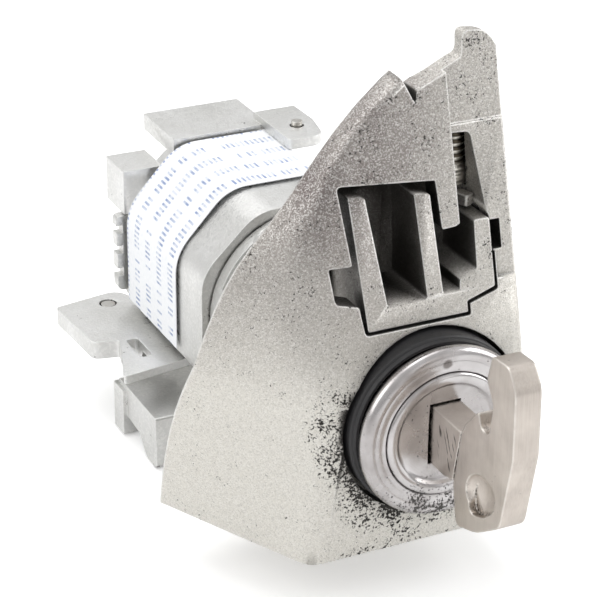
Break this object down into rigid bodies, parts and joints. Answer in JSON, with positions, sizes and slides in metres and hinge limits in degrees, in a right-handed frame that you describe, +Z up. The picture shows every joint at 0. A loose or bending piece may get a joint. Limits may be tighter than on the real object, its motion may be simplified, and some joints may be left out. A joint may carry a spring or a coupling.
{
  "type": "car door lock cylinder in its carrier",
  "caption": "Key-operated car door lock: a turned barrel and rear drive in a fin-shaped die-cast carrier, with the flat metal key in the lock.",
  "frame": {"origin": "on the lock axis where it meets the door seat, 26 mm behind the lock face", "axes": "+X right as seen by someone facing the lock, +Y into the door along the lock axis, +Z up"},
  "size_m": [0.0467, 0.1101, 0.079],
  "materials": {
    "cast_zinc": "as-cast zinc alloy, matt with a fine sparkle, grimy in the corners",
    "bare_zinc": "clean as-cast zinc alloy, satin",
    "polished_steel": "turned and polished, lightly scratched",
    "satin_nickel": "warm satin nickel, brushed along the edges",
    "plated_steel": "zinc-plated steel, dull",
    "spring_steel": "drawn spring steel",
    "brass": "machined brass, greased",
    "rubber": "black moulded rubber, satin",
    "label_paper": "white paper label with pale blue rules"
  },
  "bodies": {
    "carrier": {"carrier_casting": "cast_zinc", "rib_insert": "cast_zinc", "clamp_pad": "cast_zinc", "rubber_ring": "rubber", "escutcheon": "polished_steel", "barrel_housing": "bare_zinc", "barrel_pin": "plated_steel", "rear_housing": "bare_zinc", "rear_label": "label_paper", "rear_bracket": "bare_zinc", "bracket_pin": "plated_steel", "housing_screw_left": "plated_steel", "housing_screw_right": "plated_steel", "lower_block": "bare_zinc", "return_spring": "spring_steel"},
    "clamp_screw": {"clamp_screw": "plated_steel"},
    "plug": {"plug_face": "polished_steel", "plug": "brass", "output_cam": "plated_steel", "crank_pin": "plated_steel", "cam_clip": "spring_steel"},
    "key": {"key_head": "satin_nickel", "key_blade": "satin_nickel"},
    "lock_slide": {"slide_plate": "bare_zinc", "slide_yoke": "plated_steel", "yoke_rivet": "plated_steel"},
    "wafer_1": {"wafer_1": "brass"},
    "wafer_2": {"wafer_2": "brass"},
    "wafer_3": {"wafer_3": "brass"},
    "wafer_4": {"wafer_4": "brass"},
    "wafer_5": {"wafer_5": "brass"},
    "wafer_6": {"wafer_6": "brass"},
    "wafer_7": {"wafer_7": "brass"},
    "wafer_8": {"wafer_8": "brass"}
  },
  "joints": [
    {"name": "plug_turn", "type": "hinge", "parent": "carrier", "child": "plug", "pos_m": [0, 0, 0], "axis": [0, 1, 0], "range_deg": [-40, 40], "stiffness_Nm_per_rad": 0.15},
    {"name": "key_slide", "type": "slide", "parent": "plug", "child": "key", "axis": [0, -1, 0], "range_m": [0, 0.044]},
    {"name": "slide_shift", "type": "slide", "parent": "carrier", "child": "lock_slide", "axis": [1, 0, 0], "range_m": [-0.0053, 0.0053]},
    {"name": "clamp_screw_turn", "type": "hinge", "parent": "carrier", "child": "clamp_screw", "pos_m": [0.0088, -0.0096, 0.036], "axis": [0, 0, 1], "range_deg": [-360, 360]},
    {"name": "wafer_1_lift", "type": "slide", "parent": "plug", "child": "wafer_1", "axis": [0, 0, 1], "range_m": [0, 0.0007]},
    {"name": "wafer_2_lift", "type": "slide", "parent": "plug", "child": "wafer_2", "axis": [0, 0, -1], "range_m": [0, 0.0007]},
    {"name": "wafer_3_lift", "type": "slide", "parent": "plug", "child": "wafer_3", "axis": [0, 0, 1], "range_m": [0, 0.0007]},
    {"name": "wafer_4_lift", "type": "slide", "parent": "plug", "child": "wafer_4", "axis": [0, 0, -1], "range_m": [0, 0.0007]},
    {"name": "wafer_5_lift", "type": "slide", "parent": "plug", "child": "wafer_5", "axis": [0, 0, 1], "range_m": [0, 0.0007]},
    {"name": "wafer_6_lift", "type": "slide", "parent": "plug", "child": "wafer_6", "axis": [0, 0, -1], "range_m": [0, 0.0007]},
    {"name": "wafer_7_lift", "type": "slide", "parent": "plug", "child": "wafer_7", "axis": [0, 0, 1], "range_m": [0, 0.0007]},
    {"name": "wafer_8_lift", "type": "slide", "parent": "plug", "child": "wafer_8", "axis": [0, 0, -1], "range_m": [0, 0.0007]}
  ],
  "couplings": [
    {"joint": "plug_turn", "follows": "slide_shift", "rad_per_m": -129.87},
    {"joint": "wafer_1_lift", "follows": "key_slide", "ratio": 0.014},
    {"joint": "wafer_2_lift", "follows": "key_slide", "ratio": 0.014},
    {"joint": "wafer_3_lift", "follows": "key_slide", "ratio": 0.014},
    {"joint": "wafer_4_lift", "follows": "key_slide", "ratio": 0.014},
    {"joint": "wafer_5_lift", "follows": "key_slide", "ratio": 0.014},
    {"joint": "wafer_6_lift", "follows": "key_slide", "ratio": 0.014},
    {"joint": "wafer_7_lift", "follows": "key_slide", "ratio": 0.014},
    {"joint": "wafer_8_lift", "follows": "key_slide", "ratio": 0.014}
  ]
}
